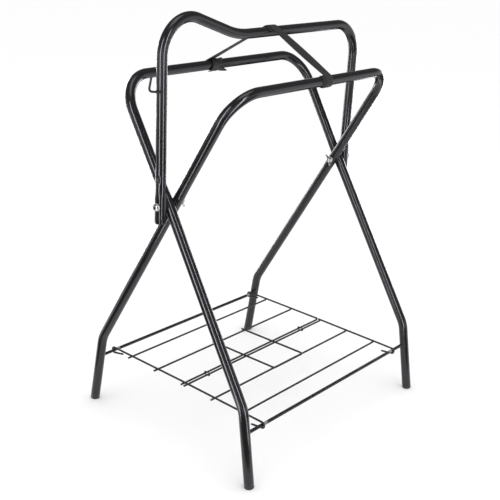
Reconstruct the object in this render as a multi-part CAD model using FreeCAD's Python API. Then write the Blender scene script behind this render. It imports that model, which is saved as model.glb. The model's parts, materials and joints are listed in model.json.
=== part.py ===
"""Folding saddle rack: two crossed U-frames, a ridge arch, a folding wire shelf and a webbing strap.

Millimetres, +Z up. X runs across the rack and Y along the rails. The origin is on the floor in the middle.
"near" is the -Y end, where the ridge rises into the pommel hump, and "far" is the +Y end.
Frame A has its feet at +X and its rail at -X. Frame B is its mirror image, a little shorter in Y.
"""

import FreeCAD, Part

import math
import os

from FreeCAD import Vector

os.makedirs("parts", exist_ok=True)

# Tube stock
TUBE_R = 11.1
TUBE_WALL = 1.2
BEND_R = 76.2

# Side view of a U-frame, in X and Z
PIVOT_Z = 570.0
RAIL_Z = 817.5
KNEE_Z = 173.7
LEAN = 0.5975
FOOT_X = 265.4

# Distances of the tubes from the middle plane, at the pivot, and how much they splay
LEG_Y = {"a": 305.3, "b": 281.5}
SPLAY_BELOW = {"a": 0.0193, "b": 0.0175}
SPLAY_ABOVE = {"a": 0.0087, "b": -0.0175}
SET_R = 400.0

# Ridge arch, in Y and Z
RIDGE_Y = 329.1
RIDGE_END_Z = 534.5
HUMP_Z = 983.5
VALLEY_Y = -105.2
RIDGE_Z = 908.0
RIDGE_FAR_Y = 337.0
RIDGE_SET_Z = 592.0
VALLEY_R = 206.0

# Feet and plugs
CAP_LIP = 5.5
CAP_ROUND = 4.0
CAP_SINK = 1.5
FLOOR_BLOCK = 60.0
PLUG_DEPTH = 12.0
PLUG_GAP = 0.05
PLUG_LIP = 2.0
PLUG_ROUND = 1.4

# Pivot bolts
BOLT_R = 4.0
HOLE_R = 4.1
HEAD_FLATS = 13.0
HEAD_H = 5.3
HEAD_CHAMFER = 1.2
HEAD_TURN_DEG = 10.0
HEAD_WASHER_R = 9.0
HEAD_WASHER_T = 1.6
SPACER_R = 10.8
SPACER_T = 1.2
NUT_WASHER_R = 8.0
NUT_WASHER_T = 1.4
RUNNING_GAP = 0.3
NUT_HUB_R = 6.3
NUT_TOP_R = 5.2
NUT_H = 7.5
WING_ROOT_R = 3.2
WING_ROOT_Z = (1.0, 6.5)
WING_SPAN = 15.5
WING_T = 2.6
WING_RISE = 10.0
WING_TIP = 5.0
BOLT_TAIL = 1.0
WING_TURN = {"near": 100.0, "far": 120.0}

# Crossbar rods
ROD_R = 3.97
ROD_X = 246.0
ROD_Z = 121.3

# Wire shelf. Half B hooks onto the rod between frame B's legs, half A onto frame A's.
WIRE_R = 2.38
HOOK_R = {"a": 6.6, "b": 6.85}
TAIL_LENGTH = 31.0
TAIL_SPREAD_DEG = {"a": 8.0, "b": -12.0}
SHELF_HALF_Y = 256.5
SHELF_SHIFT = {"a": -3.0, "middle": 7.0, "b": 13.0}
WIRE_X = {
    "a": {"outer": 185.5, "middle": 97.0, "inner": 8.5},
    "b": {"outer": -185.5, "middle": -93.3, "inner": -1.0},
}
SIDE_END_X = {"a": 6.0, "b": 1.5}
STUB_NEAR = 7.0
STUB_FAR = 2.0
STOP_X = (-98.0, 104.0)
STOP_Y = (-44.5, 66.5)
STOP_BEND_R = 6.0
CLIP_Y = {"near": -174.0, "far": 186.0}
CLIP_R = 1.25
CLIP_INNER_R = 2.7

# Bridle hook, in X and Z. Its shank is welded across the outer face of the ridge's near leg.
HOOK_WIRE_R = 2.38
BRIDLE_HOOK = [(6.0, 812.0), (-23.4, 809.2), (-16.4, 837.5)]
BRIDLE_BEND_R = 5.5

# Webbing strap, which lies over the ridge and is wound round both rails
WEB_WIDTH = 25.4
WEB_T = 1.6
WEB_LIFT = 0.2
RIDGE_WRAP_Y = 1.0
RIDGE_WRAP_DEG = 38.0
WRAP_REACH = 40.0
SPAN_END_Y = {"a": -26.0, "b": 24.0}
LOOP_Y = {"a": (-38.5, 9.0), "b": (-2.0, 40.0)}
LOOP_T = 2.4
SPAN_GAP = 0.4
TAIL_Y = {"left": -22.0, "right": 12.0}
TAIL_TIP_Z = 796.0
TAIL_W = 15.0
TAIL_GAP = 0.1
TAIL_LEAN = {"left": -4.0, "right": 4.0}

SIDE = {"near": -1, "far": 1}
SIGN = {"a": 1, "b": -1}
Y_AXIS = Vector(0, 1, 0)


def export(name, shape):
    shape.exportStep(f"parts/{name}.step")


def rounded_path(points, radii):
    """A wire of straight runs through the points, with a tangent arc at each inner point."""
    edges = []
    start = points[0]
    for before, corner, after, radius in zip(points, points[1:], points[2:], radii):
        back = (before - corner).normalize()
        ahead = (after - corner).normalize()
        half = back.getAngle(ahead) / 2
        cut = radius / math.tan(half)
        middle = (back + ahead).normalize()
        arc_start = corner + back * cut
        arc_end = corner + ahead * cut
        arc_middle = corner + middle * (radius / math.sin(half) - radius)
        edges.append(Part.LineSegment(start, arc_start).toShape())
        edges.append(Part.Arc(arc_start, arc_middle, arc_end).toShape())
        start = arc_end
    edges.append(Part.LineSegment(start, points[-1]).toShape())
    return Part.Wire(edges)


def swept_round(points, radii, radius):
    """A solid round bar along a rounded path."""
    path = rounded_path(points, radii)
    circle = Part.makeCircle(radius, points[0], points[1] - points[0])
    return path.makePipeShell([Part.Wire([circle])], True, False)


def bar(start, end, radius):
    return Part.makeCylinder(radius, (end - start).Length, start, end - start)


def ring(centre, axis, outer_r, inner_r, length):
    outer = Part.makeCylinder(outer_r, length, centre, axis)
    return outer.cut(Part.makeCylinder(inner_r, length, centre, axis))


def leg_x(frame, z):
    """Where the middle of a frame's leg is, across the rack, at a height."""
    knee_x = LEAN * (PIVOT_Z - KNEE_Z)
    if z >= KNEE_Z:
        return SIGN[frame] * LEAN * (PIVOT_Z - z)
    return SIGN[frame] * (FOOT_X + (knee_x - FOOT_X) * z / KNEE_Z)


def leg_y(frame, z):
    """How far the middle of a frame's leg is from the middle plane, at a height."""
    if z > PIVOT_Z:
        return LEG_Y[frame] + SPLAY_ABOVE[frame] * (z - PIVOT_Z)
    return LEG_Y[frame] + SPLAY_BELOW[frame] * (PIVOT_Z - z)


def leg_point(frame, end, z):
    return Vector(leg_x(frame, z), SIDE[end] * leg_y(frame, z), z)


def foot_axis(frame, end):
    """Where the middle of a leg meets the floor, and the direction up the foot."""
    foot = leg_point(frame, end, 0)
    return foot, (leg_point(frame, end, KNEE_Z) - foot).normalize()


def frame_path(frame):
    """Points and bend radii of a U-frame's tube, from its near foot to its far foot."""
    heights = {"a": [KNEE_Z, PIVOT_Z, RAIL_Z], "b": [KNEE_Z, RAIL_Z]}[frame]
    bends = {"a": [BEND_R, SET_R, BEND_R], "b": [BEND_R, BEND_R]}[frame]
    sides = []
    for end in SIDE:
        foot, up = foot_axis(frame, end)
        sides.append([foot + up * CAP_LIP] + [leg_point(frame, end, z) for z in heights])
    near, far = sides
    return near + far[::-1], bends + bends[::-1]


def hollow_tube(points, radii):
    return swept_round(points, radii, TUBE_R).cut(swept_round(points, radii, TUBE_R - TUBE_WALL))


def pivot_hole():
    reach = RIDGE_Y + TUBE_R + HEAD_H
    return Part.makeCylinder(HOLE_R, 2 * reach, Vector(0, -reach, PIVOT_Z), Y_AXIS)


def make_ridge():
    points = [
        Vector(0, -RIDGE_Y, RIDGE_END_Z),
        Vector(0, -RIDGE_Y, HUMP_Z),
        Vector(0, VALLEY_Y, RIDGE_Z),
        Vector(0, RIDGE_FAR_Y, RIDGE_Z),
        Vector(0, RIDGE_Y, RIDGE_SET_Z),
        Vector(0, RIDGE_Y, RIDGE_END_Z),
    ]
    tube = hollow_tube(points, [BEND_R, VALLEY_R, BEND_R, SET_R])
    export("ridge_tube", tube.cut(pivot_hole()))
    for end in SIDE:
        export(f"ridge_plug_{end}", ridge_plug(end))
    hook_y = -(RIDGE_Y + TUBE_R + HOOK_WIRE_R)
    hook_points = [Vector(x, hook_y, z) for x, z in BRIDLE_HOOK]
    export("bridle_hook", swept_round(hook_points, [BRIDLE_BEND_R], HOOK_WIRE_R))


def ridge_plug(end):
    """A push-in plug with a thin lip that closes an upright's lower end."""
    base = Vector(0, SIDE[end] * RIDGE_Y, RIDGE_END_Z)
    lip = Part.makeCylinder(TUBE_R, PLUG_LIP, base, Vector(0, 0, -1))
    rim = [edge for edge in lip.Edges if edge.Closed and edge.CenterOfMass.z < RIDGE_END_Z - PLUG_LIP / 2]
    lip = lip.makeFillet(PLUG_ROUND, rim)
    return lip.fuse(Part.makeCylinder(TUBE_R - TUBE_WALL - PLUG_GAP, PLUG_DEPTH, base)).removeSplitter()


def make_frame(frame):
    points, radii = frame_path(frame)
    export(f"frame_{frame}_tube", hollow_tube(points, radii).cut(pivot_hole()))
    for end in SIDE:
        export(f"foot_cap_{frame}_{end}", foot_cap(frame, end))
    rod_x = SIGN[frame] * ROD_X
    reach = leg_y(frame, ROD_Z)
    rod = bar(Vector(rod_x, -reach, ROD_Z), Vector(rod_x, reach, ROD_Z), ROD_R)
    export(f"crossbar_{frame}", rod.cut(swept_round(points, radii, TUBE_R)))


def foot_cap(frame, end):
    """A push-in cap: a flush lip with a rounded rim, ground flat where it meets the floor."""
    foot, up = foot_axis(frame, end)
    base = foot - up * CAP_SINK
    lip = Part.makeCylinder(TUBE_R, CAP_LIP + CAP_SINK, base, up)
    rim = [edge for edge in lip.Edges if (edge.CenterOfMass - base).Length < CAP_SINK and edge.Closed]
    lip = lip.makeFillet(CAP_ROUND, rim)
    plug = Part.makeCylinder(TUBE_R - TUBE_WALL - PLUG_GAP, PLUG_DEPTH, foot + up * CAP_LIP, up)
    corner = foot - Vector(FLOOR_BLOCK / 2, FLOOR_BLOCK / 2, FLOOR_BLOCK)
    below = Part.makeBox(FLOOR_BLOCK, FLOOR_BLOCK, FLOOR_BLOCK, corner)
    return lip.fuse(plug).cut(below).removeSplitter()


def bolt_head(face, axis):
    """A hexagonal head with its outer corners turned down."""
    corner_r = HEAD_FLATS / math.sqrt(3)
    corners = []
    for step in range(7):
        angle = math.radians(60 * step + HEAD_TURN_DEG)
        corners.append(face + Vector(math.cos(angle), 0, math.sin(angle)) * corner_r)
    head = Part.Face(Part.makePolygon(corners)).extrude(axis * HEAD_H)
    crown = Part.makeCone(corner_r + HEAD_H, corner_r - HEAD_CHAMFER, HEAD_H, face, axis)
    return head.common(crown)


def make_pivot(end):
    """One bolt with its washers and wing nut. Distances are from the middle plane, outwards."""
    out = Y_AXIS * SIDE[end]

    def at(distance):
        return Vector(0, 0, PIVOT_Z) + out * distance

    head_face = RIDGE_Y + TUBE_R + HEAD_WASHER_T
    nut_seat = LEG_Y["b"] - TUBE_R - RUNNING_GAP
    nut_face = nut_seat - NUT_WASHER_T - PLUG_GAP
    tip = nut_face - NUT_H - BOLT_TAIL

    shank = Part.makeCylinder(BOLT_R, head_face - tip, at(tip), out)
    export(f"pivot_bolt_{end}", shank.fuse(bolt_head(at(head_face), out)).removeSplitter())
    export(f"head_washer_{end}", ring(at(RIDGE_Y + TUBE_R), out, HEAD_WASHER_R, HOLE_R, HEAD_WASHER_T))
    export(f"nut_washer_{end}", ring(at(nut_seat - NUT_WASHER_T), out, NUT_WASHER_R, HOLE_R, NUT_WASHER_T))
    spacers = []
    for inner, outer in ((LEG_Y["b"], LEG_Y["a"]), (LEG_Y["a"], RIDGE_Y)):
        middle = (inner + outer) / 2
        spacers.append(ring(at(middle - SPACER_T / 2), out, SPACER_R, HOLE_R, SPACER_T))
    export(f"spacer_washers_{end}", Part.makeCompound(spacers))
    export(f"wing_nut_{end}", wing_nut(at(nut_face), -out, WING_TURN[end]))


def wing_nut(seat, axis, turn):
    """A hub with two raised wings, on the bolt's axis."""
    nut = Part.makeCone(NUT_HUB_R, NUT_TOP_R, NUT_H, seat, axis)
    across = Vector(math.cos(math.radians(turn)), 0, math.sin(math.radians(turn)))
    up = axis.cross(across).normalize()
    low, high = WING_ROOT_Z
    outline = [
        (WING_ROOT_R, low),
        (WING_SPAN, WING_RISE - WING_TIP),
        (WING_SPAN, WING_RISE),
        (WING_SPAN - WING_TIP, WING_RISE),
        (WING_ROOT_R, high),
        (WING_ROOT_R, low),
    ]
    for side in (-1, 1):
        corners = [seat + across * (side * reach) + axis * height for reach, height in outline]
        wing = Part.Face(Part.makePolygon(corners)).extrude(up * WING_T)
        wing.translate(up * (-WING_T / 2))
        nut = nut.fuse(wing)
    bore = Part.makeCylinder(HOLE_R, WING_RISE + NUT_H, seat - axis, axis)
    return nut.cut(bore).removeSplitter()


def side_shift(x):
    """How far the shelf sits towards +Y, at a place across the rack."""
    frame = "a" if x > 0 else "b"
    share = abs(x) / ROD_X
    return SHELF_SHIFT["middle"] + (SHELF_SHIFT[frame] - SHELF_SHIFT["middle"]) * share


def side_wire(half, end):
    """A wire across the shelf, hooked round its rod, with a tail that returns underneath."""
    radius = HOOK_R[half]
    spread = math.radians(TAIL_SPREAD_DEG[half])
    middle_x = SIDE_END_X[half]
    rod_x = SIGN[half] * ROD_X
    start = Vector(middle_x, SIDE[end] * SHELF_HALF_Y + side_shift(middle_x), ROD_Z + radius)
    rod = Vector(rod_x, SIDE[end] * SHELF_HALF_Y + side_shift(rod_x), ROD_Z)
    top = rod + Vector(0, 0, radius)
    outward = (top - start).normalize()
    tail_start = rod + outward * (radius * math.sin(spread)) - Vector(0, 0, radius * math.cos(spread))
    tail = outward * (-TAIL_LENGTH * math.cos(spread)) - Vector(0, 0, TAIL_LENGTH * math.sin(spread))
    path = Part.Wire(
        [
            Part.LineSegment(start, top).toShape(),
            Part.Arc(top, rod + outward * radius, tail_start).toShape(),
            Part.LineSegment(tail_start, tail_start + tail).toShape(),
        ]
    )
    circle = Part.makeCircle(WIRE_R, start, outward)
    return path.makePipeShell([Part.Wire([circle])], True, False)


def make_shelf_half(half):
    for end in SIDE:
        export(f"shelf_{half}_side_{end}", side_wire(half, end))
    level = ROD_Z + HOOK_R[half] - 2 * WIRE_R
    for name, x in WIRE_X[half].items():
        near_y = -SHELF_HALF_Y + side_shift(x) - STUB_NEAR
        far_y = SHELF_HALF_Y + side_shift(x) + STUB_FAR
        wire = bar(Vector(x, near_y, level), Vector(x, far_y, level), WIRE_R)
        export(f"shelf_{half}_{name}_wire", wire)


def make_stop_loop():
    """The U-shaped wire on top of half B. It reaches over half A and stops the shelf from sagging."""
    level = ROD_Z + HOOK_R["b"]
    start_x, base_x = STOP_X
    low_y, high_y = STOP_Y
    points = [
        Vector(start_x, high_y, level),
        Vector(base_x, high_y, level),
        Vector(base_x, low_y, level),
        Vector(start_x, low_y, level),
    ]
    export("shelf_stop_loop", swept_round(points, [STOP_BEND_R, STOP_BEND_R], WIRE_R))


def make_clip(end):
    """A closed wire link round the two inner wires, which is the shelf's middle hinge."""
    ring_r = CLIP_INNER_R + CLIP_R
    levels = {half: ROD_Z + HOOK_R[half] - 2 * WIRE_R for half in ("a", "b")}
    b_x = WIRE_X["b"]["inner"] - WIRE_R + CLIP_INNER_R
    centre_b = Vector(b_x, CLIP_Y[end], levels["b"])
    centre_a = Vector(WIRE_X["a"]["inner"], CLIP_Y[end], levels["a"])
    along = (centre_a - centre_b).normalize()
    up = Vector(-along.z, 0, along.x)
    corners = [middle + up * (side * ring_r) for middle, side in
               ((centre_b, 1), (centre_a, 1), (centre_a, -1), (centre_b, -1))]
    path = Part.Wire(
        [
            Part.LineSegment(corners[0], corners[1]).toShape(),
            Part.Arc(corners[1], centre_a + along * ring_r, corners[2]).toShape(),
            Part.LineSegment(corners[2], corners[3]).toShape(),
            Part.Arc(corners[3], centre_b - along * ring_r, corners[0]).toShape(),
        ]
    )
    circle = Part.makeCircle(CLIP_R, corners[0], along)
    export(f"shelf_clip_{end}", path.makePipeShell([Part.Wire([circle])], True, False))


def make_strap():
    web_r = TUBE_R + WEB_LIFT
    ridge = Vector(0, 0, RIDGE_Z)
    wrap = ring(ridge + Y_AXIS * (RIDGE_WRAP_Y - WEB_WIDTH / 2), Y_AXIS, web_r + WEB_T, web_r, WEB_WIDTH)
    export("strap_ridge_wrap", wrap.common(upper_sector(RIDGE_WRAP_Y)))
    for frame in ("a", "b"):
        rail = Vector(-SIGN[frame] * LEAN * (RAIL_Z - PIVOT_Z), 0, RAIL_Z)
        start_y, end_y = LOOP_Y[frame]
        loop = ring(rail + Y_AXIS * start_y, Y_AXIS, web_r + LOOP_T, web_r, end_y - start_y)
        export(f"strap_loop_{frame}", loop)
        export(f"strap_span_{frame}", strap_span(frame, rail))
    export("strap_tails", Part.makeCompound([strap_tail(name) for name in TAIL_Y]))


def strap_tail(name):
    """One cut end of the webbing, which hangs under rail A."""
    x = -LEAN * (RAIL_Z - PIVOT_Z) - WEB_T / 2
    y = TAIL_Y[name]
    top_z = RAIL_Z - TUBE_R - WEB_LIFT - LOOP_T - TAIL_GAP
    outline = [
        Vector(x, y - TAIL_W / 2, top_z),
        Vector(x, y + TAIL_W / 2, top_z),
        Vector(x, y + TAIL_LEAN[name], TAIL_TIP_Z),
        Vector(x, y - TAIL_W / 2, top_z),
    ]
    return Part.Face(Part.makePolygon(outline)).extrude(Vector(WEB_T, 0, 0))


def upper_sector(y):
    """A wedge over the ridge, as wide as the strap's wrap is round."""
    half = math.radians(RIDGE_WRAP_DEG)
    low_y = y - WEB_WIDTH
    side = WRAP_REACH * math.sin(half)
    top = RIDGE_Z + WRAP_REACH * math.cos(half)
    corners = [
        Vector(0, low_y, RIDGE_Z),
        Vector(-side, low_y, top),
        Vector(side, low_y, top),
        Vector(0, low_y, RIDGE_Z),
    ]
    return Part.Face(Part.makePolygon(corners)).extrude(Vector(0, 2 * WEB_WIDTH, 0))


def strap_span(frame, rail):
    """The free stretch of webbing from the ridge wrap to a rail's loop, tangent to both tubes."""
    down = Vector(rail.x, 0, RAIL_Z - RIDGE_Z).normalize()
    normal = Vector(-down.z, 0, down.x)
    if normal.z < 0:
        normal = normal * -1
    inner = TUBE_R + WEB_LIFT
    leaves = Vector(0, 0, RIDGE_Z) + normal * inner
    turned = math.radians(RIDGE_WRAP_DEG) - math.atan2(abs(normal.x), normal.z)
    leaves = leaves + down * ((inner + WEB_T) * math.tan(max(turned, 0)) + SPAN_GAP)
    arrives = rail + normal * (inner + LOOP_T + SPAN_GAP)
    across = Y_AXIS * (WEB_WIDTH / 2)
    from_y = Y_AXIS * RIDGE_WRAP_Y
    to_y = Y_AXIS * SPAN_END_Y[frame]
    outline = Part.makePolygon(
        [
            leaves + from_y - across,
            leaves + from_y + across,
            arrives + to_y + across,
            arrives + to_y - across,
            leaves + from_y - across,
        ]
    )
    return Part.Face(outline).extrude(normal * WEB_T)


make_ridge()
for frame_name in ("a", "b"):
    make_frame(frame_name)
    make_shelf_half(frame_name)
for end_name in SIDE:
    make_pivot(end_name)
    make_clip(end_name)
make_stop_loop()
make_strap()
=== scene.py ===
"""Looks of a folding saddle rack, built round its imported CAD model. Metres, +Z up, Y along the rails."""
import json
import math

import bmesh
import bpy
from mathutils import Matrix, Vector


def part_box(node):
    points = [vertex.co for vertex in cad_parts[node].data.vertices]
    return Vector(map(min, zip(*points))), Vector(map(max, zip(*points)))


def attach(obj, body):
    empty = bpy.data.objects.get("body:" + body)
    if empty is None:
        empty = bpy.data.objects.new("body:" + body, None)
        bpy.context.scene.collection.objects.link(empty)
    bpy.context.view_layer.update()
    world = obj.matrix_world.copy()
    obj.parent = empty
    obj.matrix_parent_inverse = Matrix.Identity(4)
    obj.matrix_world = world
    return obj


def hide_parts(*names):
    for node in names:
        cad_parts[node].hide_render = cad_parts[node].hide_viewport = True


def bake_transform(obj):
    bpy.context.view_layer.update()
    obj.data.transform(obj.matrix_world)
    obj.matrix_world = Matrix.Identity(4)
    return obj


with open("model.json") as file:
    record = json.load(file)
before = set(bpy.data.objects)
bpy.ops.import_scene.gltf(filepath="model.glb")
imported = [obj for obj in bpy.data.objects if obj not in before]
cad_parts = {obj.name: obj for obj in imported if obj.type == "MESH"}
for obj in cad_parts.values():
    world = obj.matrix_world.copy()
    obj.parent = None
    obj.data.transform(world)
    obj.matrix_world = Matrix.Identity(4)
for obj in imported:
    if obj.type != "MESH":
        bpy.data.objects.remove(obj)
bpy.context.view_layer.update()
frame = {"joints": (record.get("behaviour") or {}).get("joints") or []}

# Sizes as the CAD model has them, and the small ones that only the look has
BEND_R = 0.0762
VALLEY_R = 0.206
SET_R = 0.4
TUBE_WALL = 0.0012
KNEE_Z = 0.1737
FOOT_X = 0.2654
CAP_LIP = 0.0055
LEG_Y = {"a": 0.3053, "b": 0.2815}
SPLAY_BELOW = {"a": 0.0193, "b": 0.0175}
SPLAY_ABOVE = {"a": 0.0087, "b": -0.0175}
RIDGE_Y = 0.3291
RIDGE_END_Z = 0.5345
PLUG_LIP = 0.002
PLUG_ROUND = 0.0014
PLUG_STEM_R = 0.0097
HUMP_Z = 0.9835
VALLEY_Y = -0.1052
RIDGE_Z = 0.908
RIDGE_FAR_Y = 0.337
RIDGE_SET_Z = 0.592
HOOK_R = {"a": 0.0066, "b": 0.00685}
TAIL_LENGTH = 0.031
TAIL_SPREAD = {"a": math.radians(8), "b": math.radians(-12)}
SHELF_HALF_Y = 0.2565
SHELF_SHIFT = {"a": -0.003, "middle": 0.007, "b": 0.013}
SIDE_END_X = {"a": 0.006, "b": 0.0015}
STOP_BEND_R = 0.006
CLIP_R = 0.00125
CLIP_INNER_R = 0.0027
BRIDLE_HOOK = [(0.006, 0.812), (-0.0234, 0.8092), (-0.0164, 0.8375)]
BRIDLE_BEND_R = 0.0055
BOLT_HOLE_R = 0.00415
HEAD_FLATS = 0.013
HEAD_TURN = math.radians(10)
WING_TURN = {"near": math.radians(100), "far": math.radians(120)}
SPOT_WELD = (0.0021, 0.0021, 0.0013)
RUB_INSET = 0.009
CREASE_DEPTH = 0.0006
CREASE_GAP = 0.0068
CREASE_FADE = 0.0115
WEB_WIDTH = 0.0254
WEB_T = 0.0016
WEB_LIFT = 0.0002

# Where the strap's middle leaves the ridge and meets each rail, in millimetres along Y
RIDGE_LEAVES = {"a": 4.0, "b": 7.0}
RAIL_ARRIVES = {"a": -25.0, "b": 20.5}
SPAN_TWIST = {"a": math.radians(-4), "b": math.radians(8)}
SPAN_CUP = 0.0006
SPAN_ROWS = 48

SIDE = {"near": -1, "far": 1}
SIGN = {"a": 1, "b": -1}
X, Y, Z = Vector((1, 0, 0)), Vector((0, 1, 0)), Vector((0, 0, 1))


def middle(node):
    low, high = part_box(node)
    return (low + high) / 2


def extent(node):
    low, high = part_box(node)
    return high - low


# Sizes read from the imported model
PIVOT = Vector(next(j["pos_m"] for j in frame["joints"] if j["name"] == "frame_a_fold"))
TUBE_R = extent("ridge_tube").x / 2
RAIL = {"a": middle("strap_loop_a"), "b": middle("strap_loop_b")}
RAIL_Z = RAIL["a"].z
LEAN = RAIL["b"].x / (RAIL_Z - PIVOT.z)
ROD = {"a": middle("crossbar_a"), "b": middle("crossbar_b")}
ROD_R = extent("crossbar_a").x / 2
WIRE_R = extent("shelf_a_inner_wire").x / 2
HOOK_WIRE_R = extent("bridle_hook").y / 2
RIDGE_CENTRE = Vector((0, 0, RIDGE_Z))

# The strap's first and second layer round a tube: their middle's radius, in millimetres
INNER = (TUBE_R + WEB_LIFT + WEB_T / 2) * 1000
OUTER = INNER + WEB_T * 1000 + 0.1


# ---------------------------------------------------------------- mesh helpers


def linked(name, data):
    """A new object in the scene."""
    thing = bpy.data.objects.new(name, data)
    bpy.context.scene.collection.objects.link(thing)
    return thing


def new_piece(name, points, faces, body=None, slot=None, nodes=(), finish=None):
    """A smooth-shaded mesh that rides on a body and stands for CAD nodes."""
    mesh = bpy.data.meshes.new(name)
    mesh.from_pydata([tuple(p) for p in points], [], faces)
    mesh.validate()
    tool = bmesh.new()
    tool.from_mesh(mesh)
    bmesh.ops.recalc_face_normals(tool, faces=tool.faces)
    tool.to_mesh(mesh)
    tool.free()
    for face in mesh.polygons:
        face.use_smooth = True
    piece = linked(name, mesh)
    if body:
        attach(piece, body)
    if slot:
        mesh.materials.append(MATERIALS[finish or slot])
    if nodes:
        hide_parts(*nodes)
    return piece


def joined(name, parts, body, slot, nodes=()):
    """One piece made of several point and face lists."""
    points, faces = [], []
    for part_points, part_faces in parts:
        start = len(points)
        points += part_points
        faces += [tuple(i + start for i in face) for face in part_faces]
    return new_piece(name, points, faces, body, slot, nodes)


def crease(piece, degrees):
    """Keeps edges sharper than an angle crisp."""
    tool = bmesh.new()
    tool.from_mesh(piece.data)
    for edge in tool.edges:
        if len(edge.link_faces) == 2 and edge.calc_face_angle() > math.radians(degrees):
            edge.smooth = False
    tool.to_mesh(piece.data)
    tool.free()
    return piece


def spoke(first, second, angle):
    """The direction at an angle in the plane of two directions."""
    return first * math.cos(angle) + second * math.sin(angle)


def ring_faces(rings, sides, looped=False, capped=True):
    """Quads between rings of points, back to the first ring or with a face over each end."""
    count = rings * sides
    faces = []
    for row in range(rings if looped else rings - 1):
        for k in range(sides):
            a, b = row * sides + k, row * sides + (k + 1) % sides
            faces.append((a, b, (b + sides) % count, (a + sides) % count))
    if capped and not looped:
        faces += [tuple(range(sides)), tuple(range(count - sides, count))]
    return faces


def run_places(start, end, fine, coarse_step, fine_step, fine_reach):
    """Points along a straight run, closer together near the places that need detail."""
    length = (end - start).length
    way = (end - start) / length
    places, gone = [], 0.0
    while gone < length:
        here = start + way * gone
        places.append(here)
        near = any((here - spot).length < fine_reach for spot in fine)
        gone += fine_step if near else coarse_step
    return places, way


def rounded(points, radii, fine=(), coarse_step=0.012, fine_step=0.0016, fine_reach=0.034, turn=2.5):
    """Places and directions along straight runs with a tangent arc at each inner point."""
    samples = []
    start = points[0]
    for before, corner, after, radius in zip(points, points[1:], points[2:], radii):
        back = (before - corner).normalized()
        ahead = (after - corner).normalized()
        half = back.angle(ahead) / 2
        cut = radius / math.tan(half)
        arc_start = corner + back * cut
        centre = corner + (back + ahead).normalized() * (radius / math.sin(half))
        places, way = run_places(start, arc_start, fine, coarse_step, fine_step, fine_reach)
        samples += [(place, way) for place in places]
        axis = (-back).cross(ahead).normalized()
        sweep_angle = math.pi - 2 * half
        arc_length = radius * sweep_angle
        near = any((corner - spot).length < fine_reach for spot in fine)
        steps = max(2, math.ceil(math.degrees(sweep_angle) / turn))
        if near:
            steps = max(steps, math.ceil(arc_length / fine_step))
        for step in range(steps):
            turned = Matrix.Rotation(sweep_angle * step / steps, 3, axis)
            samples.append((centre + turned @ (arc_start - centre), turned @ -back))
        start = corner + ahead * cut
    places, way = run_places(start, points[-1], fine, coarse_step, fine_step, fine_reach)
    samples += [(place, way) for place in places]
    samples.append((points[-1], way))
    kept = [samples[0]]
    for sample in samples[1:]:
        if (sample[0] - kept[-1][0]).length > 0.0002:
            kept.append(sample)
    return kept


ROUND_END = [(0.35, 0.02), (0.6, 0.13), (0.7, 0.4)]
CUT_END = [(0.06, 0.03), (0.1, 0.16)]


def swept(samples, radius, sides, shape=None, ends=(ROUND_END, ROUND_END), hollow=None):
    """Points and faces of a round bar along the samples.

    shape(place, outward) gives an extra radius. An end is a list of steps beyond the last place and of
    radius lost, both as shares of the radius. hollow is the wall and the depth of an open end instead.
    """
    way = samples[0][1]
    across = way.orthogonal().normalized()
    rings = []
    frames = []
    for place, direction in samples:
        turn = way.rotation_difference(direction)
        across = (turn @ across).normalized()
        way = direction
        frames.append((place, direction, across, direction.cross(across)))
    for place, direction, first, second in frames:
        ring = []
        for k in range(sides):
            angle = math.tau * k / sides
            out = spoke(first, second, angle)
            extra = shape(place, out) if shape else 0.0
            ring.append(place + out * (radius + extra))
        rings.append(ring)

    def end_rings(ring, place, outward_way, steps):
        made = []
        for along, lost in steps:
            made.append([place + (p - place) * (1 - lost) + outward_way * (along * radius) for p in ring])
        return made

    if hollow:
        wall, depth = hollow
        thin, deep = wall / radius, depth / radius
        steps = [(0.02, 0.01), (0.035, thin * 0.3), (0.035, thin * 0.7), (0.02, thin), (-deep, thin)]
        ends = (steps, steps)
    first_end = end_rings(rings[0], frames[0][0], -frames[0][1], ends[0])
    last_end = end_rings(rings[-1], frames[-1][0], frames[-1][1], ends[1])
    rings = first_end[::-1] + rings + last_end
    return [p for ring in rings for p in ring], ring_faces(len(rings), sides)


def lathed(centre, axis, profile, sides=48, closed=True, radius_at=None):
    """Points and faces of a profile of (along, radius) pairs turned about an axis.

    A closed profile is a ring with a bore. radius_at(angle, along, radius) may change a radius.
    """
    axis = axis.normalized()
    first = axis.orthogonal().normalized()
    second = axis.cross(first)
    points = []
    for along, radius in profile:
        for k in range(sides):
            angle = math.tau * k / sides
            size = radius_at(angle, along, radius) if radius_at else radius
            points.append(centre + axis * along + spoke(first, second, angle) * size)
    return points, ring_faces(len(profile), sides, looped=closed)


def ring_profile(length, outer, inner, edge):
    """A washer's section with rounded outer and inner edges."""
    return [
        (0, inner + edge),
        (0, outer - edge),
        (edge * 0.3, outer - edge * 0.3),
        (edge, outer),
        (length - edge, outer),
        (length - edge * 0.3, outer - edge * 0.3),
        (length, outer - edge),
        (length, inner + edge),
        (length - edge, inner),
        (edge, inner),
    ]


def nugget(centre, sizes, sides=14, rows=8):
    """A small rounded blob of weld."""
    points = []
    for row in range(rows + 1):
        tilt = math.pi * row / rows
        for k in range(sides):
            angle = math.tau * k / sides
            rough = 1 + 0.07 * math.sin(3 * angle + 2 * tilt + 900 * centre.x)
            out = Vector((math.sin(tilt) * math.cos(angle), math.sin(tilt) * math.sin(angle), math.cos(tilt)))
            points.append(centre + Vector((out.x * sizes[0], out.y * sizes[1], out.z * sizes[2])) * rough)
    return points, ring_faces(rows + 1, sides, capped=False)


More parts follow.
